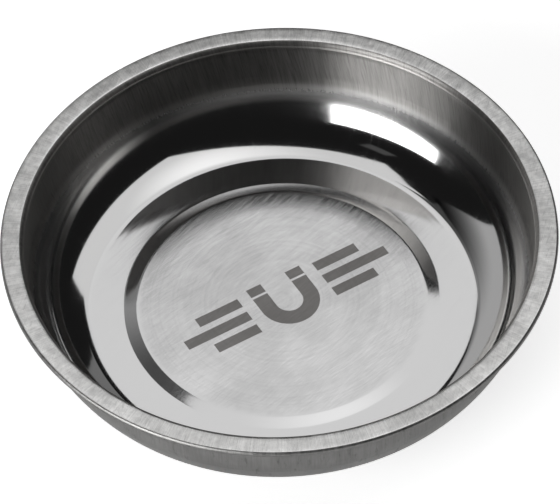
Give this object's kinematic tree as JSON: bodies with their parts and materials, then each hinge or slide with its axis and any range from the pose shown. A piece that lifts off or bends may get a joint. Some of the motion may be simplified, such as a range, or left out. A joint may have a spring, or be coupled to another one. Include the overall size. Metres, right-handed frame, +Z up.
{
  "type": "magnetic parts dish",
  "caption": "Round pressed steel dish with a curved wall and a flat turned rim, on a rubber covered ring magnet foot, for loose screws and other small steel parts.",
  "frame": {"origin": "on the table under the centre of the dish, in the plane of the rubber foot", "axes": "+Z up along the dish's axis of revolution; +X and +Y are any two directions across the rim"},
  "size_m": [0.15, 0.15, 0.0432],
  "materials": {
    "stainless": "bright drawn wall, brushed floor and satin rim",
    "zinc_steel": "bright zinc plated",
    "ferrite": "dull ground ceramic",
    "cover_rubber": "matt moulded"
  },
  "bodies": {
    "root": {"dish": "stainless", "weld_stud": "zinc_steel", "magnet_ring": "ferrite", "keeper_plate": "zinc_steel", "flat_washer": "zinc_steel", "spring_washer": "zinc_steel", "hex_nut": "zinc_steel", "rubber_cover": "cover_rubber"}
  },
  "joints": []
}
